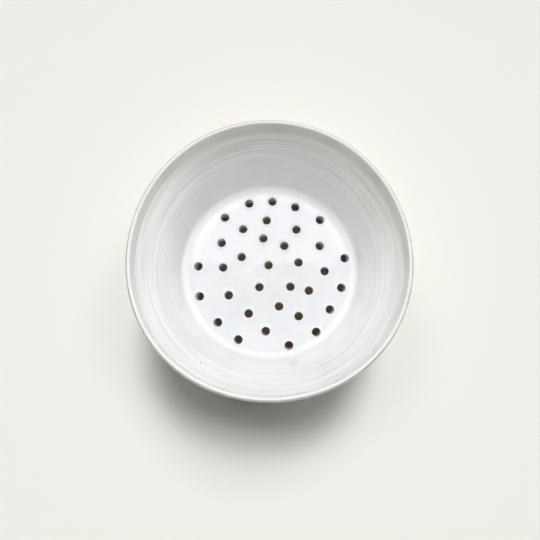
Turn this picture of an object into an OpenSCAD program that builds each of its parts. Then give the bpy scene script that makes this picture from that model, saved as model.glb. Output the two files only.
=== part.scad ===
// Berry colander bowl: a wheel-thrown stoneware bowl with a pierced flat floor,
// a trimmed foot ring with drain notches, and a white glaze inside, outside and
// through every drain hole. The foot and the underside inside it are bare clay.
// Millimetres, +Z up. The origin is the centre of the foot, at the table.

/* [Bowl] */
// Radius of the lip, over the glaze
rim_r = 90; // [84:1:96]
// Depth inside, from the floor to the top of the lip
inner_depth = 69; // [60:1:80]
// Radius of the flat part of the floor
floor_r = 63; // [60:0.5:65]
// Thickness of the floor, with its glaze
floor_t = 9; // [7:0.5:12]
// Radius of the cove between the floor and the wall
cove_r = 7; // [5:0.5:9]
// Slope of the inside wall where it leaves the cove, in degrees from level
wall_rise = 70; // [67:1:74]
// Slope of the inside wall where it meets the collar, in degrees from level
wall_top_rise = 76; // [72:1:82]

/* [Lip and collar] */
// Width of the rolled lip
lip_w = 2.8; // [2.4:0.1:3.6]
// How far round its underside the roll of the lip goes, in degrees
lip_tuck = 35; // [20:5:50]
// Height of the upright collar under the lip
collar_h = 13; // [9:0.5:18]

/* [Outside] */
// How far the outside stands out past the flat floor, where it turns under
base_w = 12; // [11:0.5:14]
// Radius of the round edge where the outside turns under
base_round_r = 3; // [2:0.5:4]
// Slope of the outside wall just above that edge, in degrees from level
outside_rise = 74; // [70:1:78]

/* [Throwing rings] */
// Rings that the fingers left, from the wiped foot of the wall to the collar
ring_count = 9; // [6:1:12]
// Depth of the rings inside, at the collar
ring_depth = 0.15; // [0.05:0.05:0.4]
// Depth of the rings outside, at the collar
outside_ring_depth = 0.1; // [0.05:0.05:0.3]

/* [Foot ring] */
// Height of the foot, from the table to the underside of the floor
foot_h = 8; // [7:0.5:12]
// Width of the foot where it meets the floor
foot_w = 5.5; // [4.5:0.5:6]
// How far the foot is set in from the edge where the outside turns under
foot_inset = 3.5; // [3:0.5:4]
// Taper of each side of the foot, from top to bottom
foot_taper = 0.8; // [0.4:0.1:1.2]
// Bevel of the foot's two lower edges
foot_bevel = 0.8; // [0.4:0.1:1]
// Width of each drain notch, at the table
notch_w = 16; // [12:1:20]
// Height of each drain notch
notch_h = 5.5; // [4.5:0.5:6]

/* [Drain holes] */
// Diameter of a drain hole, inside its glaze
hole_d = 6.5; // [5:0.5:7.5]
// How far the glaze round a hole stands up from the floor
hole_bead_h = 0.4; // [0.3:0.05:0.6]

/* [Glaze] */
// Thickness of the glaze coat
glaze_t = 0.5; // [0.3:0.1:0.8]

/* [Hidden] */
$fn = 128;

clay_colour = "#c2a886";
glaze_colour = "#f3f4f2";
bare_foot_colour = "#b89b78";

// Heights and radii that follow from the sizes above
under_z = foot_h;
floor_z = under_z + floor_t;
rim_z = floor_z + inner_depth;
lip_r = lip_w / 2;
lip_z = rim_z - lip_r;
lip_centre_r = rim_r - lip_r;
collar_in_r = lip_centre_r - lip_r * cos(lip_tuck);
collar_z = lip_z - collar_h;
base_r = floor_r + base_w;
foot_out_r = base_r - foot_inset;
foot_in_r = foot_out_r - foot_w;
hole_r = hole_d / 2;
bore_r = hole_r + glaze_t;
cut_over = glaze_t;

// Shares of the wall's height: how long the wall keeps its slope at each end
wall_foot_share = 0.35;
wall_head_share = 0.3;
outside_foot_share = 0.36;
outside_head_share = 0.22;
// Share of the wall, from the bottom, that is wiped smooth
smooth_share = 0.35;
smooth_steps = 6;
steps_per_ring = 6;
arc_steps = 8;

// Holes of each ring round the centre, laid out by eye: turn in degrees from +X,
// and distance from the centre as a share of the flat floor's radius
outer_ring_share = [
    [9.5, 0.96], [45.5, 0.92], [68, 0.89], [87.5, 0.90], [106.5, 0.91],
    [129.5, 0.89], [176.5, 0.89], [200.5, 0.92], [225.5, 0.90], [246, 0.93],
    [284.5, 0.95], [307, 0.95], [327, 0.89], [346.5, 0.92]
];
middle_ring_share = [
    [26.5, 0.71], [57, 0.63], [93, 0.65], [122, 0.63], [149.5, 0.70],
    [176, 0.58], [211.5, 0.59], [244.5, 0.59], [266.5, 0.75], [302.5, 0.67],
    [333, 0.55], [359.5, 0.69]
];
inner_ring_share = [
    [16, 0.38], [59.5, 0.37], [100.5, 0.42], [153.5, 0.39], [239, 0.24],
    [285, 0.46], [322.5, 0.33]
];
centre_share = [[99, 0.07]];
hole_share = concat(outer_ring_share, middle_ring_share, inner_ring_share,
                    centre_share);

// A point at radius r and height z, turned by an angle round a centre
function on_arc(centre, r, angle) = centre + r * [cos(angle), sin(angle)];

// A cubic curve through four points, and the direction it runs in
function curve_at(p, t) =
    p[0] * pow(1 - t, 3) + 3 * p[1] * t * pow(1 - t, 2)
    + 3 * p[2] * t * t * (1 - t) + p[3] * pow(t, 3);
function curve_run(p, t) =
    (p[1] - p[0]) * pow(1 - t, 2) + 2 * (p[2] - p[1]) * t * (1 - t)
    + (p[3] - p[2]) * t * t;

// Unit vector square to a direction, on its right
function right_of(run) = [run[1], -run[0]] / norm(run);

// How far a share t of the wall's height is from the wiped part to the collar
function ring_run(t) = max(0, (t - smooth_share) / (1 - smooth_share));

// Depth of the throwing rings there: an even wave that deepens up to the collar
function ring_cut(t, depth) =
    depth * ring_run(t) * (1 - cos(360 * ring_count * ring_run(t))) / 2;

// Shares of the wall's height at which its section has a point
ring_steps = ring_count * steps_per_ring;
wall_shares = concat(
    [for (i = [0 : smooth_steps]) smooth_share * i / smooth_steps],
    [for (i = [1 : ring_steps]) smooth_share + (1 - smooth_share) * i / ring_steps]
);

function backwards(list) = [for (i = [len(list) - 1 : -1 : 0]) list[i]];
function without_first(list) = [for (i = [1 : len(list) - 1]) list[i]];

// The inside wall, from the end of the cove to the foot of the collar
cove_centre = [floor_r, floor_z + cove_r];
cove_end = on_arc(cove_centre, cove_r, wall_rise - 90);
wall_tall = collar_z - cove_end[1];
wall_end = [collar_in_r, collar_z];
wall_line = [
    cove_end,
    cove_end + wall_foot_share * wall_tall * [cos(wall_rise), sin(wall_rise)],
    wall_end - wall_head_share * wall_tall * [cos(wall_top_rise), sin(wall_top_rise)],
    wall_end
];

// The outside wall, from the foot of the collar down to the turned-under edge
base_centre = [base_r - base_round_r, under_z + base_round_r];
base_start = on_arc(base_centre, base_round_r, outside_rise - 90);
outside_tall = collar_z - base_start[1];
outside_line = [
    [rim_r, collar_z],
    [rim_r, collar_z - outside_head_share * outside_tall],
    base_start + outside_foot_share * outside_tall * [cos(outside_rise), sin(outside_rise)],
    base_start
];

// Section of the inside, from the axis over the floor, up the wall and over the
// lip to its widest place, sunk by a depth into the clay
function inside_path(sunk) = concat(
    [[0, floor_z - sunk]],
    [for (i = [0 : arc_steps])
        on_arc(cove_centre, cove_r + sunk, -90 + wall_rise * i / arc_steps)],
    [for (t = without_first(wall_shares))
        curve_at(wall_line, t)
        + (sunk + ring_cut(t, ring_depth)) * right_of(curve_run(wall_line, t))],
    [for (i = [0 : arc_steps])
        on_arc([lip_centre_r, lip_z], lip_r - sunk,
               (180 + lip_tuck) * (1 - i / arc_steps))]
);

// Section of the outside, from the widest place of the lip down to the foot
function outside_path(sunk) = concat(
    [[rim_r - sunk, lip_z]],
    [for (t = backwards(wall_shares))
        curve_at(outside_line, 1 - t)
        + (sunk + ring_cut(t, outside_ring_depth))
          * right_of(curve_run(outside_line, 1 - t))],
    [for (i = [1 : arc_steps])
        on_arc(base_centre, base_round_r - sunk,
               outside_rise - 90 - outside_rise * i / arc_steps)],
    [[foot_out_r, under_z + sunk]]
);

// Puts a copy of its child at each drain hole, on the axis of the hole
module at_each_hole() {
    for (place = hole_share)
        rotate(place[0])
            translate([place[1] * floor_r, 0, 0])
                children();
}

// What the drill takes out, through the floor and the glaze on it
module drilled_holes() {
    at_each_hole()
        translate([0, 0, under_z - cut_over])
            cylinder(r = bore_r, h = floor_t + cove_r + cut_over);
}

// The thrown and trimmed clay: floor, wall, collar and lip in one piece
module thrown_bowl() {
    color(clay_colour)
        difference() {
            rotate_extrude()
                polygon(concat(inside_path(glaze_t),
                               without_first(outside_path(glaze_t)),
                               [[foot_out_r, under_z], [0, under_z]]));
            drilled_holes();
        }
}

// The clay ring that the bowl stands on, with four arched notches that let
// the water out from under the floor
module foot_ring() {
    notch_r = (pow(notch_w / 2, 2) + pow(notch_h, 2)) / (2 * notch_h);
    color(bare_foot_colour)
        difference() {
            rotate_extrude()
                polygon([
                    [foot_in_r, under_z],
                    [foot_in_r + foot_taper, foot_bevel],
                    [foot_in_r + foot_taper + foot_bevel, 0],
                    [foot_out_r - foot_taper - foot_bevel, 0],
                    [foot_out_r - foot_taper, foot_bevel],
                    [foot_out_r, under_z]
                ]);
            for (turn = [0, 90])
                rotate(turn)
                    translate([0, 0, notch_h - notch_r])
                        rotate([0, 90, 0])
                            cylinder(r = notch_r, h = 2 * base_r, center = true);
        }
}

// White coat over the floor and the wall, rolled over the lip
module inside_glaze() {
    color(glaze_colour)
        difference() {
            rotate_extrude()
                polygon(concat(inside_path(0), backwards(inside_path(glaze_t))));
            drilled_holes();
        }
}

// White coat from the lip down the outside, to the edge of the bare foot ring
module outside_glaze() {
    color(glaze_colour)
        rotate_extrude()
            polygon(concat(outside_path(0), backwards(outside_path(glaze_t))));
}

// The glaze that lines each hole, with a round bead standing at its mouth
module drain_hole_linings() {
    bead_r = glaze_t / 2;
    bead_z = floor_z + hole_bead_h - bead_r;
    color(glaze_colour)
        at_each_hole()
            rotate_extrude()
                polygon(concat(
                    [[hole_r, under_z], [bore_r, under_z]],
                    [for (i = [0 : arc_steps])
                        on_arc([hole_r + bead_r, bead_z], bead_r,
                               180 * i / arc_steps)]
                ));
}

thrown_bowl();
foot_ring();
inside_glaze();
outside_glaze();
drain_hole_linings();
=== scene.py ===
from math import cos, pi, radians, sin

import bpy
import numpy as np
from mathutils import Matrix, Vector
from mathutils.geometry import delaunay_2d_cdt


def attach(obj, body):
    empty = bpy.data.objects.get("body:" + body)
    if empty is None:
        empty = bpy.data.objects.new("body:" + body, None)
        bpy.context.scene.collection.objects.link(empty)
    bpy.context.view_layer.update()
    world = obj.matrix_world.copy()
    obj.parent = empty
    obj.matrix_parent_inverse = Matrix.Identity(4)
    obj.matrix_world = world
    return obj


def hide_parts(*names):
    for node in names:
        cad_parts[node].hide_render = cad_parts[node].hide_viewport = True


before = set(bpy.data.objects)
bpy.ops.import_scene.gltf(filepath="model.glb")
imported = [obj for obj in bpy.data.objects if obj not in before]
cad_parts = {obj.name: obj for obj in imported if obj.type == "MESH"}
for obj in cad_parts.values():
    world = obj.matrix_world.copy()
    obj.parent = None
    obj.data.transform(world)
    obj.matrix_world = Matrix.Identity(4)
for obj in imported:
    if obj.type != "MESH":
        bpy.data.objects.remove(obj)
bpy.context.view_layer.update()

scene = bpy.context.scene
scene.view_settings.view_transform = "Standard"

# The view: the bowl is seen from almost straight above, from a third of a metre over
# the table, by a camera that leans a little towards the far side of the lip.
view = bpy.data.cameras.new("view_from_above")
view.lens = 27.04
view.sensor_width = 36.0
view.clip_start = 0.01
camera = bpy.data.objects.new("view_from_above", view)
camera.location = (-0.0007, -0.0517, 0.3323)
camera.rotation_euler = (radians(9.41), radians(-0.22), 0.0)
scene.collection.objects.link(camera)
scene.camera = camera


# The thrown bowl: buff stoneware, thrown on the wheel in one piece from floor to lip,
# trimmed when leather hard, then drilled by hand. Its underside is bare, and glaze
# covers the rest of it.
rim_r = 0.090
rim_z = 0.086
floor_r = 0.063
floor_z = 0.017
under_z = 0.008
base_r = 0.075
base_round_r = 0.003
foot_out_r = 0.0715
glaze_t = 0.0005
hole_r = 0.00325
bore_r = hole_r + glaze_t

# The wall: its slopes in degrees from level where it leaves the cove and where it meets
# the collar, and the share of its height that each end keeps its slope for
wall_rise = 72.0
wall_top_rise = 71.5
wall_ends_share = 0.33
collar_z = 0.0724
collar_lean = 0.0004
outside_rise = 74.0
outside_foot_share = 0.36
outside_head_share = 0.22

# The cove is a shallow cone with a tight bend to the wall. The lip leans in over the
# collar, is rounded on top, and falls away outside in a longer curve. Each is given by
# lengths along it and the slope there, in degrees from level.
cove_start_r = floor_r + 0.0008
cove_lengths = (0, 0.0012, 0.0038, 0.0065)
cove_slopes = (0, 26, 26, wall_rise)
lip_lengths = (0, 0.00047, 0.0026, 0.00307, 0.00495, 0.00637)
lip_slopes = (90, 125, 8, -22, -60, -90)

# How many points the section line has on each of its runs
floor_points = 200
cove_points = 80
wall_points = 500
collar_points = 60
lip_points = 120
base_points = 40

# Each drain hole: its turn from +X in degrees, its distance from the centre as a share
# of the flat floor's radius, and how many degrees its lower end leans to +X and to +Y
drain_holes = np.array([
    (9.5, 0.96, -4, 7), (45.5, 0.92, -4, 4), (68, 0.89, -2, 9), (87.5, 0.90, -1, 2),
    (106.5, 0.91, 0, 0), (129.5, 0.89, -1, -3), (176.5, 0.89, 6, 2), (200.5, 0.92, 6, 3),
    (225.5, 0.90, 4, 6), (246, 0.93, 3, 5), (284.5, 0.95, 3, 9), (307, 0.95, 1, 8),
    (327, 0.89, -2, 9), (346.5, 0.92, -3, 6), (26.5, 0.71, -4, 1), (57, 0.63, 6, 8),
    (93, 0.65, 5, 6), (122, 0.63, 3, 2), (149.5, 0.70, 4, 1), (176, 0.58, 2, 0),
    (211.5, 0.59, 0, 1), (244.5, 0.59, -3, -4), (266.5, 0.75, 5, 7), (302.5, 0.67, 4, -3),
    (333, 0.55, 6, 1), (359.5, 0.69, 8, 2), (16, 0.38, 6, 1), (59.5, 0.37, 5, 1),
    (100.5, 0.42, 5, 0), (153.5, 0.39, 4, 2), (239, 0.24, 0, -1), (285, 0.46, 2, -3),
    (322.5, 0.33, 3, 0), (99, 0.07, 7, 1),
])
hole_turn = np.radians(drain_holes[:, 0])
hole_x = floor_r * drain_holes[:, 1] * np.cos(hole_turn)
hole_y = floor_r * drain_holes[:, 1] * np.sin(hole_turn)
hole_lean = np.tan(np.radians(drain_holes[:, 2:]))
lean_reach = 0.005


def arc(centre, radius, first, last, count):
    """Points on a circle, from one angle to another in degrees: centre + radius times
    (cos angle, sin angle)."""
    turn = np.radians(np.linspace(first, last, count))
    return np.array(centre) + radius * np.stack([np.cos(turn), np.sin(turn)], -1)


def along_slope(length, degrees):
    """The step of a length in a direction: (length cos slope, length sin slope)."""
    return length * np.array([cos(radians(degrees)), sin(radians(degrees))])


def cubic(a, b, c, d, count):
    """A cubic curve: a(1-t)^3 + 3bt(1-t)^2 + 3ct^2(1-t) + dt^3, for t from 0 to 1."""
    t = np.linspace(0, 1, count)[:, None]
    return (np.array(a) * (1 - t) ** 3 + 3 * np.array(b) * t * (1 - t) ** 2
            + 3 * np.array(c) * t ** 2 * (1 - t) + np.array(d) * t ** 3)


def bent(start, lengths, slopes, count):
    """A line from a start, whose slope in degrees changes evenly from each length along
    it to the next: the sum of small steps of (cos slope, sin slope)."""
    along = np.linspace(0, lengths[-1], count)
    slope = np.radians(np.interp(along, lengths, slopes))
    middle = 0.5 * (slope[1:] + slope[:-1])
    steps = along[1] * np.stack([np.cos(middle), np.sin(middle)], -1)
    return np.array(start) + np.concatenate([[(0, 0)], np.cumsum(steps, axis=0)])


def section(*runs):
    """A section line as a table: length run so far, radius, height, and the unit vector
    into the clay, which is the line's direction turned to the right. Also gives the
    length at which each of its runs ends."""
    points = np.concatenate([runs[0]] + [run[1:] for run in runs[1:]])
    length = np.append(0, np.cumsum(np.hypot(*np.diff(points, axis=0).T)))
    ahead = np.gradient(points, length, axis=0)
    ahead /= np.hypot(*ahead.T)[:, None]
    table = np.column_stack([length, points, ahead[:, 1], -ahead[:, 0]])
    return table, length[np.cumsum([len(run) - 1 for run in runs])]


def turned(line, run, turn, sunk):
    """The surface of revolution of a section line: the point at a length run along it,
    moved by sunk into the clay, then turned about the bowl's axis."""
    radius, height, in_r, in_z = (np.interp(run, line[:, 0], line[:, k]) for k in range(1, 5))
    radius = radius + sunk * in_r
    return np.stack([radius * np.cos(turn), radius * np.sin(turn), height + sunk * in_z], -1)


# The inside, from the centre over floor, cove, wall, collar and lip to the widest place
cove = bent((cove_start_r, floor_z), cove_lengths, cove_slopes, cove_points)
lip = bent((0, 0), lip_lengths, lip_slopes, lip_points)
lip += (rim_r - lip[-1, 0], rim_z - lip[:, 1].max())
wall_foot = cove[-1]
wall_head = np.array([lip[0, 0] + collar_lean, collar_z])
wall_step = wall_ends_share * (collar_z - wall_foot[1])
inside, inside_ends = section(
    np.linspace((0, floor_z), cove[0], floor_points),
    cove,
    cubic(wall_foot, wall_foot + along_slope(wall_step, wall_rise),
          wall_head - along_slope(wall_step, wall_top_rise), wall_head, wall_points),
    np.linspace(wall_head, lip[0], collar_points),
    lip,
)
cove_run, wall_run, collar_run, lip_run, inside_run = inside_ends

# The outside, from the widest place of the lip down to the edge of the foot
base_turn = arc((base_r - base_round_r, under_z + base_round_r), base_round_r,
                outside_rise - 90, -90, base_points)
outside_tall = collar_z - base_turn[0, 1]
outside, outside_ends = section(
    np.linspace(lip[-1], (rim_r, collar_z), collar_points),
    cubic((rim_r, collar_z), (rim_r, collar_z - outside_head_share * outside_tall),
          base_turn[0] + along_slope(outside_foot_share * outside_tall, outside_rise),
          base_turn[0], wall_points),
    base_turn,
    np.array([base_turn[-1], (foot_out_r, under_z)]),
)
clay_side = outside[:, 1:3] + glaze_t * outside[:, 3:5]
clay_under = np.array([clay_side[-1], (foot_out_r, under_z), (0, under_z)])
clay_outside, _ = section(clay_side, clay_under)

# Where the drilled floor's own mesh ends, part of the way up the cove, and how many
# columns go round the bowl there
join_r = 0.0665
around = 256
column_turn = 2 * pi * np.arange(around) / around
low = inside[inside[:, 0] <= wall_run]
join_run = np.interp(join_r, low[:, 1], low[:, 0])

# The drilled floor's points: rings round each hole, and a net between them that keeps
# these shares of its pitch clear of the rings and of the edge
hole_points = 40
hole_ring_r = bore_r + np.array([0, 0.15, 0.35, 0.65, 1.05, 1.5, 2.0]) / 1000
net_pitch = 0.0020
net_reach = 40
net_hole_share = 0.5
net_edge_share = 0.6
edge_gap = 0.0002
same_point = 1e-7
edge_slack = 0.001 * bore_r


def hole_distance(x, y):
    """Distance of each point of the floor from the axis of each drain hole."""
    return np.hypot(x[..., None] - hole_x, y[..., None] - hole_y)


def drilled_floor():
    """Plan of the floor: a ring of columns at its edge, rings of points round each hole,
    and between them a net of equal triangles, all joined by Delaunay's rule. A triangle
    whose middle lies within a bore is left out."""
    edge = join_r * np.stack([np.cos(column_turn), np.sin(column_turn)], -1)
    every_other = np.arange(len(hole_ring_r))[:, None] % 2
    turn = (2 * np.arange(hole_points) + every_other) * pi / hole_points
    ring = hole_ring_r[:, None, None] * np.stack([np.cos(turn), np.sin(turn)], -1)
    rings = (ring + np.stack([hole_x, hole_y], -1)[:, None, None]).reshape(-1, 2)
    rings = rings[np.hypot(*rings.T) < join_r - edge_gap]
    steps = np.arange(-net_reach, net_reach + 1)
    column, row = np.meshgrid(steps, steps)
    net = net_pitch * np.stack([column + 0.5 * (row % 2), row * sin(pi / 3)], -1).reshape(-1, 2)
    clear = hole_distance(net[:, 0], net[:, 1]).min(1) > hole_ring_r[-1] + net_hole_share * net_pitch
    net = net[clear & (np.hypot(*net.T) < join_r - net_edge_share * net_pitch)]
    plan = np.concatenate([edge, rings, net])
    loop = np.stack([np.arange(around), (np.arange(around) + 1) % around], -1)
    in_millimetres = (1000 * plan).tolist()
    faces = np.array(delaunay_2d_cdt(in_millimetres, loop.tolist(), [], 0, same_point)[2])
    middle = plan[faces].mean(1)
    return plan, faces[hole_distance(middle[:, 0], middle[:, 1]).min(1) > bore_r - edge_slack]


def round_grid(rows, columns, first=0, ring=False):
    """Four-sided faces of a grid that closes round its columns, row by row. A ring closes
    from its last row to its first as well."""
    place = first + np.arange(rows * columns).reshape(rows, columns)
    if ring:
        place = np.concatenate([place, place[:1]])
    ahead = np.roll(place, -1, axis=1)
    return np.stack([place[:-1], place[1:], ahead[1:], ahead[:-1]], -1).reshape(-1, 4)


def solid(name, points, faces):
    """A mesh object of the given points and faces, smooth but for edges over 50 degrees."""
    mesh = bpy.data.meshes.new(name)
    mesh.from_pydata(points, [], faces)
    mesh.shade_smooth()
    mesh.set_sharp_from_angle(angle=radians(50))
    piece = bpy.data.objects.new(name, mesh)
    scene.collection.objects.link(piece)
    return piece


def closed_skin(name, front, back, triangles, quads):
    """A skin with a front and a back of the same faces, and a band round every edge: an
    edge is open if no face has it the other way round."""
    edges = np.concatenate([face[:, [k, (k + 1) % face.shape[1]]]
                            for face in (triangles, quads) for k in range(face.shape[1])])
    count = len(front)
    open_edges = edges[~np.isin(edges @ (count, 1), edges @ (1, count))]
    start, end = open_edges.T
    band = np.column_stack([end, start, start + count, end + count])
    faces = (triangles.tolist() + quads.tolist() + (triangles[:, ::-1] + count).tolist()
             + (quads[:, ::-1] + count).tolist() + band.tolist())
    return solid(name, np.concatenate([front, back]), faces)


# What the wheel and the kiln did to the true circle of the lip, in waves round it: how
# far each draws in or dips, how often it goes round, and its phase in radians
draw_waves = [(0.00054, 1, 1.45), (0.00013, 2, 1.7), (0.00054, 3, 1.7), (0.00025, 4, 0.1)]
draw_mean = -0.0001
dip_waves = [(0.000077, 1, 2.1), (0.000033, 4, -0.4)]
dip_mean = 0.00014


def waves(turn, sizes):
    """Sum of size x cos(times x turn - phase)."""
    return sum(size * np.cos(times * turn - phase) for size, times, phase in sizes)


def settled(points):
    """Draws the bowl out of round by up to 1.3 mm and lets its lip dip by up to 0.25 mm.
    The draw grows with the square of the share of the wall's height, the dip with its
    fourth power."""
    turn = np.arctan2(points[..., 1], points[..., 0])
    share = np.clip((points[..., 2] - floor_z) / (collar_z - floor_z), 0, 1)
    shrink = 1 - (waves(turn, draw_waves) + draw_mean) * share ** 2 / rim_r
    dip = (waves(turn, dip_waves) + dip_mean) * share ** 4
    return np.stack([points[..., 0] * shrink, points[..., 1] * shrink, points[..., 2] - dip], -1)


def eased(share):
    """A share from 0 to 1 with level ends: 3s^2 - 2s^3."""
    return share * share * (3 - 2 * share)


def leaning(points):
    """Draws the floor round each hole along with the lean of the drill: all of the lean
    at the bore's edge, none from its reach away."""
    near = hole_distance(points[:, 0], points[:, 1]) - bore_r
    share = eased(np.clip(1 - near / lean_reach, 0, 1))
    deep = np.maximum(floor_z - points[:, 2], 0)
    moved = points.copy()
    moved[:, :2] += (share @ hole_lean) * deep[:, None]
    return moved


plan, floor_faces = drilled_floor()
plan_r = np.hypot(*plan.T)
plan_turn = np.arctan2(plan[:, 1], plan[:, 0])
plan_run = np.interp(plan_r, low[:, 1], low[:, 0])

# Rows of the skin above the drilled floor, closer together at the cove and the lip
cove_rows = 10
wall_rows = 96
collar_rows = 15
lip_rows = 24
row_run = np.concatenate([
    np.linspace(join_run, wall_run, cove_rows + 1)[1:],
    np.linspace(wall_run, collar_run, wall_rows + 1)[1:],
    np.linspace(collar_run, lip_run, collar_rows + 1)[1:],
    np.linspace(lip_run, inside_run, lip_rows + 1)[1:],
])
skin_rows = len(row_run)
grid_run = np.repeat(row_run, around)
grid_turn = np.tile(column_turn, skin_rows)
skin_run = np.append(plan_run, grid_run)
skin_turn = np.append(plan_turn, grid_turn)
edge_row = np.stack([np.arange(around), np.roll(np.arange(around), -1)], -1)
next_row = edge_row + len(plan)
wall_faces = np.concatenate([
    np.stack([edge_row[:, 0], next_row[:, 0], next_row[:, 1], edge_row[:, 1]], -1),
    round_grid(skin_rows, around, len(plan)),
])

# The clay's outer face has the same rows, from under the cove out and up to the lip
under_edge = clay_outside[:-3:-1]
outer_run = np.interp(join_r, under_edge[:, 1], under_edge[:, 0])
outer_rows = outer_run * (1 - np.arange(1, skin_rows + 1) / skin_rows)
below = np.column_stack([plan, np.full(len(plan), under_z)])
beside = turned(clay_outside, np.repeat(outer_rows, around), grid_turn, 0)
clay_front = turned(inside, skin_run, skin_turn, glaze_t)
clay_back = np.concatenate([below, beside])
clay = closed_skin("thrown_clay", settled(leaning(clay_front)), settled(leaning(clay_back)),
                   floor_faces, wall_faces)


def placed(tree, kind, inputs, **settings):
    """Adds a node. Each input named gets a number or colour, or a link from a socket."""
    node = tree.nodes.new(kind)
    for name, value in settings.items():
        setattr(node, name, value)
    for name, value in inputs.items():
        if isinstance(value, bpy.types.NodeSocket):
            tree.links.new(value, node.inputs[name])
        else:
            node.inputs[name].default_value = value
    return node


def computed(tree, operation, first, second=0.0):
    """A sum, product or other operation on two numbers or sockets."""
    return placed(tree, "ShaderNodeMath", {0: first, 1: second}, operation=operation).outputs[0]


def blended(tree, share, plain, tint):
    """A colour between two others, by a share from 0 to 1."""
    return placed(tree, "ShaderNodeMix", {0: share, 6: plain, 7: tint}, data_type="RGBA").outputs[2]


def position(tree):
    """Where a point lies on the piece, in metres."""
    return placed(tree, "ShaderNodeTexCoord", {}).outputs["Object"]


def effect(name, inputs):
    """A node group with number inputs, with their usual values, that puts out a mask."""
    tree = bpy.data.node_groups.new(name, "ShaderNodeTree")
    for title, usual in inputs.items():
        socket = tree.interface.new_socket(title, in_out="INPUT", socket_type="NodeSocketFloat")
        socket.default_value = usual
    tree.interface.new_socket("Mask", in_out="OUTPUT", socket_type="NodeSocketFloat")
    return tree, tree.nodes.new("NodeGroupInput").outputs, tree.nodes.new("NodeGroupOutput").inputs


# Specks of iron that bleed through clay and glaze: some cells of a cell pattern have a
# dark dot at their middle, of a size of its own
smallest_share = 0.4
specks, given, result = effect("iron_specks", {"Cells per metre": 200, "Share": 0.2, "Size": 0.2})
cells = placed(specks, "ShaderNodeTexVoronoi",
               {"Vector": position(specks), "Scale": given["Cells per metre"]})
drawn = placed(specks, "ShaderNodeSeparateColor", {0: cells.outputs["Color"]})
chosen = computed(specks, "LESS_THAN", drawn.outputs[0], given["Share"])
own_size = computed(specks, "ADD", drawn.outputs[1], smallest_share)
width = computed(specks, "MULTIPLY", given["Size"], own_size)
from_middle = computed(specks, "DIVIDE", cells.outputs["Distance"], width)
depth = computed(specks, "SUBTRACT", 1.0, from_middle)
dot = placed(specks, "ShaderNodeMapRange", {"Value": depth, "From Min": 0.0, "From Max": 0.5})
specks.links.new(computed(specks, "MULTIPLY", chosen, dot.outputs[0]), result["Mask"])

# Soft clouds of uneven colour, as thick and thin places leave
clouds, given, result = effect("uneven_clouds", {"Clouds per metre": 60})
noise = placed(clouds, "ShaderNodeTexNoise",
               {"Vector": position(clouds), "Scale": given["Clouds per metre"], "Detail": 2.0})
spread = placed(clouds, "ShaderNodeMapRange",
                {"Value": noise.outputs[0], "From Min": 0.35, "From Max": 0.65},
                interpolation_type="SMOOTHSTEP")
clouds.links.new(spread.outputs[0], result["Mask"])


def masked(tree, kind, inputs):
    """The mask of a shared effect placed in a material, with its values there."""
    node = tree.nodes.new("ShaderNodeGroup")
    node.node_tree = kind
    for name, value in inputs.items():
        node.inputs[name].default_value = value
    return node.outputs["Mask"]


def finish_of(name, roughness):
    """A new material with its node tree and its surface shader."""
    made = bpy.data.materials.new(name)
    made.use_nodes = True
    shader = made.node_tree.nodes["Principled BSDF"]
    shader.inputs["Roughness"].default_value = roughness
    return made, made.node_tree, shader


# Bare stoneware: tan, cloudy and specked, with the fine rings of the trimming tool
dark_tan = (0.40, 0.27, 0.165, 1)
light_tan = (0.47, 0.33, 0.21, 1)
iron_in_clay = (0.10, 0.055, 0.03, 1)
grains_per_metre = 900.0
grain_depth = 0.00012
groove_pitch = 0.0011
groove_share = 0.3
clay_finish, tree, shader = finish_of("bare_stoneware", 0.8)
tan = blended(tree, masked(tree, clouds, {"Clouds per metre": 90}), dark_tan, light_tan)
clay_specks = masked(tree, specks, {"Cells per metre": 420, "Share": 0.3, "Size": 0.3})
tree.links.new(blended(tree, clay_specks, tan, iron_in_clay), shader.inputs["Base Color"])
where = position(tree)
flat = placed(tree, "ShaderNodeVectorMath", {0: where, 1: (1, 1, 0)}, operation="MULTIPLY")
radius = placed(tree, "ShaderNodeVectorMath", {0: flat.outputs[0]}, operation="LENGTH")
groove_turn = computed(tree, "MULTIPLY", radius.outputs["Value"], 2 * pi / groove_pitch)
groove = computed(tree, "MULTIPLY", computed(tree, "SINE", groove_turn), groove_share)
grain = placed(tree, "ShaderNodeTexNoise",
               {"Vector": where, "Scale": grains_per_metre, "Detail": 3.0})
bump = placed(tree, "ShaderNodeBump", {"Height": computed(tree, "ADD", grain.outputs[0], groove),
                                       "Distance": grain_depth, "Strength": 1.0})
tree.links.new(bump.outputs[0], shader.inputs["Normal"])

clay.data.materials.append(clay_finish)
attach(clay, "root")
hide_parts("thrown_bowl")


# The foot ring: the same clay, turned under the floor on the wheel and left bare, so
# that it doesn't stick in the kiln. Four arched notches are cut in it with a knife.
foot_w = 0.0055
foot_in_r = foot_out_r - foot_w
foot_taper = 0.0008
foot_bevel = 0.0008
foot_top = under_z + 0.0001
foot_columns = 720
side_points = 14
bevel_points = 8
top_points = 5
notch_w = 0.016
notch_h = 0.0055
notch_r = (notch_w ** 2 / 4 + notch_h ** 2) / (2 * notch_h)
notch_round = 0.0005
notch_tail = 0.0008
crowding = 0.7


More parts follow.
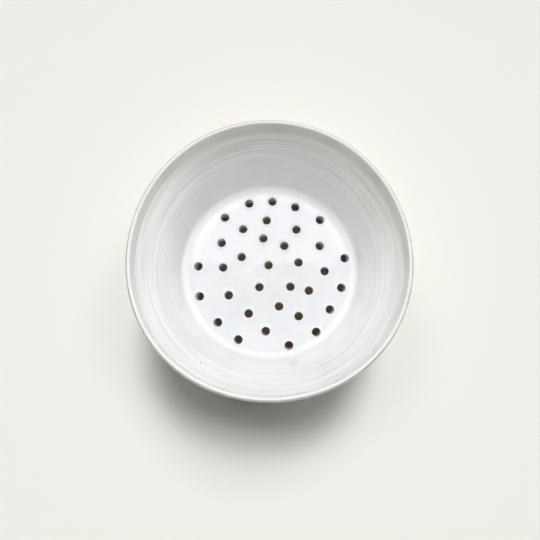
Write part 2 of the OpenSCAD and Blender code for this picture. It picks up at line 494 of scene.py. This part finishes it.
def foot_section():
    """The foot's closed section: tapered sides and a tread with two rounded edges."""
    tread_in = foot_in_r + foot_taper + foot_bevel
    tread_out = foot_out_r - foot_taper - foot_bevel
    return np.concatenate([
        np.linspace((foot_in_r, foot_top), (foot_in_r + foot_taper, foot_bevel), side_points),
        arc((tread_in, foot_bevel), foot_bevel, 180, 270, bevel_points)[1:],
        arc((tread_out, foot_bevel), foot_bevel, 270, 360, bevel_points),
        np.linspace((foot_out_r - foot_taper, foot_bevel), (foot_out_r, foot_top), side_points)[1:],
        np.linspace((foot_out_r, foot_top), (foot_in_r, foot_top), top_points)[1:-1],
    ])


def spun(line, turn):
    """A section line turned about an upright axis: (r cos turn, r sin turn, z) for each of
    its points and each turn."""
    height = np.broadcast_to(line[:, 1:], (len(line), len(turn)))
    return np.stack([line[:, :1] * np.cos(turn), line[:, :1] * np.sin(turn), height], -1)


def notched(points):
    """Squeezes the foot up between its notches and the floor. A notch is an arch of height
    a = sqrt(r^2 - d^2) - (r - h) at a distance d from its middle. To round its edges at
    the tread, half of a + sqrt(a^2 + s^2) is taken, less s^2 / 4 over the tail."""
    across = np.minimum(np.abs(points[..., 0]), np.abs(points[..., 1]))
    arch = np.sqrt(np.maximum(notch_r ** 2 - across ** 2, 0)) - (notch_r - notch_h)
    arch = 0.5 * (arch + np.sqrt(arch ** 2 + notch_round ** 2)) - notch_round ** 2 / (4 * notch_tail)
    arch = np.clip(np.where(across < notch_r, arch, 0), 0, notch_h)
    lifted = points.copy()
    lifted[..., 2] = arch + points[..., 2] * (under_z - arch) / under_z
    return lifted


# The columns crowd together at the four notches
even_turn = 2 * pi * np.arange(foot_columns) / foot_columns
foot_line = foot_section()
foot_points = notched(spun(foot_line, even_turn - crowding * np.sin(4 * even_turn) / 4))
foot_faces = round_grid(len(foot_line), foot_columns, ring=True)
foot = solid("foot_clay", foot_points.reshape(-1, 3), foot_faces.tolist())
foot.data.materials.append(clay_finish)
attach(foot, "root")
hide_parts("foot_ring")


# The inside glaze: a glossy white coat, half a millimetre thick, that pools in the
# throwing rings, swells round the drain holes and breaks to tan at the lip, where the tan
# also stands for painted shade on the lip's outer edge. Its colour also holds painted
# light and painted shade on the cove, the wall's foot, the floor's edge and the collar.
random = np.random.default_rng(11)
ring_count = 26
ring_pitch = random.uniform(0.0022, 0.0068, ring_count)
ring_starts = random.choice([0, 1, 1, 1, 2, 3], ring_count)
ring_phase = random.uniform(0, 2 * pi, ring_count)
ring_slope = 0.07
roll_count = 18
roll_angle = random.uniform(0, 2 * pi, roll_count)
roll_long = random.uniform(0.014, 0.050, roll_count)
roll_phase = random.uniform(0, 2 * pi, roll_count)
roll_slope = 0.012
bead_h = 0.0004
bead_w = 0.0019
floor_sink = 0.0001
floor_fade = 0.012

# Shares of the wall's height between which the rings rise out of its wiped foot, and
# what is left of them at the lip
rings_start_share = 0.25
rings_full_share = 0.60
rings_at_lip_share = 0.4


def throwing_rings(run, turn):
    """Depth of the finger's spiral marks: a sum of waves up the wall, some of which wind
    up as they go round. Each has the same slope, so wide ones are deep."""
    wave = np.cos(2 * pi * run[..., None] / ring_pitch + turn[..., None] * ring_starts + ring_phase)
    deep = ring_slope * np.sqrt(2 / ring_count) * ring_pitch / (2 * pi)
    return (deep * wave).sum(-1)


def ring_share(run):
    """How strong the throwing rings are: wiped away low on the wall, weaker up the collar
    and gone on the lip."""
    share = (run - wall_run) / (collar_run - wall_run)
    rising = eased(np.interp(share, (rings_start_share, rings_full_share), (0, 1)))
    falling = np.interp(run, (collar_run, lip_run), (1, rings_at_lip_share))
    return rising * falling * (run < lip_run)


def floor_swell(x, y):
    """Height of the floor's glaze over the flat: slow rolls of the surface, and a smooth
    bead that rises to the mouth of each hole. It fades out towards the cove."""
    along = (x[..., None] * np.cos(roll_angle) + y[..., None] * np.sin(roll_angle)) / roll_long
    rolls = (roll_long * np.cos(2 * pi * along + roll_phase)).sum(-1)
    rolls = rolls * roll_slope * np.sqrt(2 / roll_count) / (2 * pi)
    on_floor = eased(np.clip((join_r - np.hypot(x, y)) / floor_fade, 0, 1))
    bead = eased(np.clip(1 - (hole_distance(x, y).min(-1) - bore_r) / bead_w, 0, 1))
    return (rolls * (1 - bead) - floor_sink) * on_floor + bead_h * bead


glaze_front = turned(inside, skin_run, skin_turn,
                     throwing_rings(skin_run, skin_turn) * ring_share(skin_run))
glaze_front[:len(plan), 2] += floor_swell(plan[:, 0], plan[:, 1])
glaze_back = turned(inside, skin_run, skin_turn, glaze_t)
inside_coat = closed_skin("inside_coat", settled(glaze_front), settled(leaning(glaze_back)),
                          floor_faces, wall_faces)


def marked(piece, name, values):
    """Keeps a number for each point of a piece, by a name that its finish reads."""
    attribute = piece.data.attributes.new(name, "FLOAT", "POINT")
    attribute.data.foreach_set("value", values)


def band(edges, far_sides, shares):
    """A share over the inside that rises, stays and falls at four lengths along the
    section, times one that changes from the near side, -1, to the far side, 1."""
    up_the_wall = np.interp(skin_run, edges, (0, 1, 1, 0))
    return up_the_wall * np.interp(np.sin(skin_turn), far_sides, shares)


# Where the coat's colour differs: it pools thick and white in the cove, with painted light
# added there away from the far side; painted light whitens the foot of the near wall and
# the far edge of the floor; painted shade greys the upright collar on the far side; and it
# is thin at the lip, where its tan is partly painted shade
# Painted light: the cove whitens more away from the far side, the wall's foot only on the near side,
# and the floor's edge only on the far side
cove_pool_and_painted_light = band((cove_run, cove_run + 0.0008, wall_run, wall_run + 0.003), (0, 1), (0.8, 0.35))
painted_light_on_near_foot = band((wall_run - 0.0009, wall_run - 0.0008, wall_run + 0.012, wall_run + 0.024),
                 (-0.7, 0.3), (1, 0))
painted_light_on_far_edge = band((cove_run - 0.008, cove_run - 0.005, cove_run, cove_run + 0.002),
                 (0, 0.77), (0, 0.9))
# Painted shade: the upright collar greys only from the sides round to the far side
far_collar_shade = band((collar_run - 0.0005, collar_run + 0.001, lip_run + 0.0003, lip_run + 0.0004),
                 (-0.6, 0.067), (0, 1))
lip_share = (skin_run - lip_run) / (inside_run - lip_run)
marked(inside_coat, "thin_coat_and_painted_shade", np.tile(np.interp(lip_share, (0.50, 0.55), (0, 1)), 2))
marked(inside_coat, "pooled_coat_and_painted_light", np.tile(np.maximum.reduce([cove_pool_and_painted_light, painted_light_on_near_foot, painted_light_on_far_edge]), 2))
marked(inside_coat, "painted_collar_shade", np.tile(far_collar_shade, 2))
marked(inside_coat, "ring_marks", np.tile(ring_share(skin_run), 2))

warm_white = (0.804, 0.809, 0.804, 1)
cool_white = (0.770, 0.788, 0.792, 1)
bright_streak = (0.895, 0.90, 0.885, 1)
dim_streak = (0.75, 0.755, 0.73, 1)
streaks_per_metre = (14, 14, 520)
streak_share = 0.85
# Painted shade on the far side of the upright collar
collar_shade_grey = (0.63, 0.63, 0.59, 1)
# White of glaze pooled in the cove, and of painted light on the near wall and far floor edge
pooled_and_painted_light_white = (0.895, 0.90, 0.895, 1)
# Tan of thin glaze over the clay, which at the lip's outer edge and down the bores is also painted
# shade
tan_of_thin_coat_and_shade = (0.41, 0.385, 0.315, 1)
tan_patch_share = 0.25
iron_in_glaze = (0.16, 0.12, 0.08, 1)
peel_per_metre = 260.0
peel_depth = 0.000004
streak_depth = 0.00004


def read(tree, name):
    """The number that a piece keeps under a name for each of its points."""
    return placed(tree, "ShaderNodeAttribute", {}, attribute_name=name).outputs["Fac"]


glaze_finish, tree, shader = finish_of("white_glaze", 0.04)
shader.inputs["IOR"].default_value = 1.6
white = blended(tree, masked(tree, clouds, {"Clouds per metre": 38}), warm_white, cool_white)

# Streaks that run level round the wall: a noise drawn out along the rings
where = position(tree)
drawn_out = placed(tree, "ShaderNodeVectorMath", {0: where, 1: streaks_per_metre},
                   operation="MULTIPLY")
streaks = placed(tree, "ShaderNodeTexNoise",
                 {"Vector": drawn_out.outputs[0], "Scale": 1.0, "Detail": 3.0}).outputs[0]
dimmer = placed(tree, "ShaderNodeMapRange", {"Value": streaks, "From Min": 0.40, "From Max": 0.60})
streaky = blended(tree, dimmer.outputs[0], bright_streak, dim_streak)
in_rings = read(tree, "ring_marks")
white = blended(tree, computed(tree, "MULTIPLY", in_rings, streak_share), white, streaky)

# Over them lie the collar's painted shade, the white of the pools and of painted light, and
# the lip's tan of thin glaze and painted shade in patches
white = blended(tree, read(tree, "painted_collar_shade"), white, collar_shade_grey)
white = blended(tree, read(tree, "pooled_coat_and_painted_light"), white, pooled_and_painted_light_white)
patches = masked(tree, clouds, {"Clouds per metre": 130})
patchy = computed(tree, "ADD", 1 - tan_patch_share,
                  computed(tree, "MULTIPLY", tan_patch_share, patches))
tan_share = computed(tree, "MULTIPLY", read(tree, "thin_coat_and_painted_shade"), patchy)
white = blended(tree, tan_share, white, tan_of_thin_coat_and_shade)
glaze_specks = masked(tree, specks, {"Cells per metre": 62, "Share": 0.6, "Size": 0.04})
tree.links.new(blended(tree, glaze_specks, white, iron_in_glaze), shader.inputs["Base Color"])

# The skin of the glaze: a faint orange peel, and the streaks' own relief in the rings
peel = placed(tree, "ShaderNodeTexNoise", {"Vector": where, "Scale": peel_per_metre, "Detail": 2.0})
peel_height = computed(tree, "MULTIPLY", peel.outputs[0], peel_depth)
streak_height = computed(tree, "MULTIPLY", computed(tree, "MULTIPLY", in_rings, streaks), streak_depth)
bump = placed(tree, "ShaderNodeBump", {"Height": computed(tree, "ADD", peel_height, streak_height),
                                       "Distance": 1.0, "Strength": 1.0})
tree.links.new(bump.outputs[0], shader.inputs["Normal"])

inside_coat.data.materials.append(glaze_finish)
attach(inside_coat, "root")
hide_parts("inside_glaze")


# The outside glaze: the same coat from the widest place of the lip down the wall. It
# stops in a rounded edge where the foot was wiped clean before firing.
coat_wall_rows = 110
coat_base_rows = 16
coat_edge = 0.0006
coat_edge_share = 0.96
coat_end_thin = 0.8
lip_edge_w = 0.0008
outer_mark_share = 0.5
_, base_run, _, outside_run = outside_ends
coat_rows = np.concatenate([
    np.linspace(0, base_run, coat_wall_rows),
    np.linspace(base_run, outside_run, coat_base_rows)[1:],
])
coat_run = np.repeat(coat_rows, around)
coat_turn = np.tile(column_turn, len(coat_rows))

# The rings are the inside's waves, counted back from a length up the wall. They fade in
# below the lip and are turned away on the lower wall.
rings_from = 0.09
outer_ring_share = np.interp(coat_run / outside_run, (0, 0.08, 0.37, 0.62), (0, 1, 1, 0))
coat_end = np.interp(coat_run, (outside_run - coat_edge, outside_run), (0, 1))
round_end = glaze_t * (1 - np.sqrt(1 - coat_edge_share * coat_end ** 2))
outer_rings = throwing_rings(rings_from - coat_run, coat_turn) * outer_ring_share
coat_front = turned(outside, coat_run, coat_turn, outer_rings + round_end)
coat_back = turned(outside, coat_run, coat_turn, glaze_t)
outside_coat = closed_skin("outside_coat", settled(coat_front), settled(coat_back),
                           np.empty((0, 3), int), round_grid(len(coat_rows), around))
# The tan at the lip's outer edge is thin glaze and painted shade; at the coat's end it is thin glaze
lip_edge = np.interp(coat_run, (0, lip_edge_w), (1, 0))
marked(outside_coat, "thin_coat_and_painted_shade", np.tile(np.maximum(lip_edge, coat_end_thin * coat_end), 2))
marked(outside_coat, "ring_marks", np.tile(outer_mark_share * outer_ring_share, 2))
outside_coat.data.materials.append(glaze_finish)
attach(outside_coat, "root")
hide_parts("outside_glaze")


# The drain hole linings: glaze that ran into each hole and lines it to the underside.
# It rolls over the mouth, where it is thin on the clay's edge and shows tan. Lower in the
# bore its tan is painted shade.
lining_columns = 48
mouth_points = 12
bore_points = 14
end_points = 4
back_points = 8
hole_bulge = 0.00015
mouth_z = floor_z + bead_h
bore_z = np.linspace(mouth_z - glaze_t, under_z, bore_points)
bulge = hole_bulge * np.sin(np.linspace(0, pi, bore_points))
lining_line = np.concatenate([
    arc((bore_r, mouth_z - glaze_t), glaze_t, 90, 180, mouth_points),
    np.stack([hole_r - bulge, bore_z], -1)[1:],
    np.linspace((hole_r, under_z), (bore_r, under_z), end_points)[1:],
    np.linspace((bore_r, under_z), (bore_r, mouth_z), back_points)[1:-1],
])
lining_turn = 2 * pi * np.arange(lining_columns) / lining_columns
tube = spun(lining_line, lining_turn).reshape(-1, 3)
tubes = np.broadcast_to(tube, (len(drain_holes),) + tube.shape).copy()
deep = np.maximum(floor_z - tubes[..., 2:], 0)
tubes[..., :2] += np.stack([hole_x, hole_y], -1)[:, None] + hole_lean[:, None] * deep
tube_faces = round_grid(len(lining_line), lining_columns, ring=True)[:, ::-1]
first_points = len(tube) * np.arange(len(drain_holes))[:, None, None]
lining_faces = (tube_faces + first_points).reshape(-1, 4)
linings = solid("hole_linings", settled(tubes.reshape(-1, 3)), lining_faces.tolist())

# How thin the lining is, point by point: round the turn of its mouth, then tan as painted
# shade more and more down the bore
tan_at = (4, 5, 6, 7, 8, 9, mouth_points, mouth_points + bore_points - 1, mouth_points + bore_points)
tan_shares = (0, 0.4, 0.9, 0.9, 0.4, 0, 0, 0.25, 0)
lining_tan = np.interp(np.arange(len(lining_line)), tan_at, tan_shares)
marked(linings, "thin_coat_and_painted_shade", np.tile(np.repeat(lining_tan, lining_columns), len(drain_holes)))
linings.data.materials.append(glaze_finish)
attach(linings, "root")
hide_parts("drain_hole_linings")


# The table: a warm white top without an edge in sight. What the camera and the glaze see
# of the room is as pale as the table looks under its lamps, which is this share of its paint.
level = 0.93
room_colour = (0.871, 0.863, 0.831, 1)
table_colour = (0.871 / level, 0.863 / level, 0.831 / level, 1)
table_half = 6.0
corners = [(-table_half, -table_half, 0), (table_half, -table_half, 0),
           (table_half, table_half, 0), (-table_half, table_half, 0)]
table_mesh = bpy.data.meshes.new("table_top")
table_mesh.from_pydata(corners, [], [(0, 1, 2, 3)])
table = bpy.data.objects.new("table_top", table_mesh)
scene.collection.objects.link(table)
table_finish, tree, shader = finish_of("table_paint", 0.9)
shader.inputs["Base Color"].default_value = table_colour
shader.inputs["Specular IOR Level"].default_value = 0.0
table.data.materials.append(table_finish)


# The light: a large soft lamp high on the far side, and pale walls and a ceiling that
# send its light back. The lamp stands near the bowl, so its rays meet the bowl steeply
# and the table around it less so.
cool = (1.0, 1.0, 1.07)
plain = (1.01, 1.0, 0.98)
warm = (1.02, 1.0, 0.90)

# Where it comes from: its turn from +X and its height over the table in degrees, how
# bright it makes a level white surface, and its colour. Each lamp's disc is this wide,
# in degrees.
lamp_spread = 20
light_on_bowl = [
    (79, 82, 0.31, cool), (79, 72, 0.29, cool), (35, 25, 0.11, plain), (125, 25, 0.11, plain),
    (0, 55, 0.05, warm), (180, 55, 0.03, warm), (170, 30, 0.04, warm), (259, 50, 0.08, warm),
    (0, 12, 0.04, plain), (180, 12, 0.02, plain), (310, 14, 0.02, plain),
]
light_on_table = [
    (79, 62, 0.37, plain), (79, 52, 0.28, plain), (30, 55, 0.11, plain), (130, 55, 0.10, plain),
]


def soft_light(name, directions, lit):
    """Far soft lamps in the directions given, that light only the pieces given. A lamp's
    strength is its share x pi over the sine of its height."""
    receivers = bpy.data.collections.new(name + "_receivers")
    for piece in lit:
        receivers.objects.link(piece)
    for place, (turn, rise, share, colour) in enumerate(directions):
        level_part = cos(radians(rise))
        towards = Vector((cos(radians(turn)) * level_part, sin(radians(turn)) * level_part,
                          sin(radians(rise))))
        lamp = bpy.data.lights.new(name, "SUN")
        lamp.energy = share * pi / towards.z
        lamp.color = colour
        lamp.angle = radians(lamp_spread)
        held = bpy.data.objects.new(f"{name}_{place}", lamp)
        held.rotation_euler = towards.to_track_quat("Z", "Y").to_euler()
        held.visible_glossy = False
        held.light_linking.receiver_collection = receivers
        scene.collection.objects.link(held)


def shining(name, shape, light, area):
    """A flat lamp of a shape and area, whose surface is as bright as the light given: its
    energy is the light x pi x the area."""
    lamp = bpy.data.lights.new(name, "AREA")
    lamp.shape = shape
    lamp.energy = max(light) * pi * area
    lamp.color = [share / max(light) for share in light]
    held = bpy.data.objects.new(name, lamp)
    held.visible_camera = False
    scene.collection.objects.link(held)
    return lamp, held


soft_light("light_on_bowl", light_on_bowl, [clay, inside_coat, linings])
soft_light("light_on_table", light_on_table, [table, outside_coat, foot])

# What the glaze mirrors of the lamp: a long bright strip, 20 degrees off the vertical
strip_long = 1.4
strip_wide = 0.53
strip_far = 1.5
strip_off = radians(20)
strip_light = (1.7, 1.7, 1.8)
panel, lamp_strip = shining("lamp_strip", "RECTANGLE", strip_light, strip_long * strip_wide)
panel.size = strip_long
panel.size_y = strip_wide
lamp_strip.location = (0, strip_far * sin(strip_off), strip_far * cos(strip_off))
lamp_strip.rotation_euler = lamp_strip.location.to_track_quat("Z", "Y").to_euler()
lamp_strip.visible_diffuse = False
lamp_strip.visible_shadow = False

# Light that the bare clay underside sends down to the table under the floor
glow_wide = 0.12
glow_gap = 0.0005
glow_light = (0.029, 0.0215, 0.0105)
glow, under_floor = shining("under_floor", "DISK", glow_light, pi * glow_wide ** 2 / 4)
glow.size = glow_wide
under_floor.location = (0, 0, under_z - glow_gap)
under_floor.visible_glossy = False

# The room: pale where it is seen or mirrored, and little light from all round
ambient = 0.05
world = bpy.data.worlds.new("pale_room")
scene.world = world
world.use_nodes = True
tree = world.node_tree
seen = placed(tree, "ShaderNodeLightPath", {}).outputs
mirrored = computed(tree, "MAXIMUM", seen["Is Glossy Ray"], seen["Is Transmission Ray"])
direct = computed(tree, "MAXIMUM", seen["Is Camera Ray"], mirrored)
room = blended(tree, direct, (ambient, ambient, ambient, 1), room_colour)
tree.links.new(room, tree.nodes["Background"].inputs["Color"])
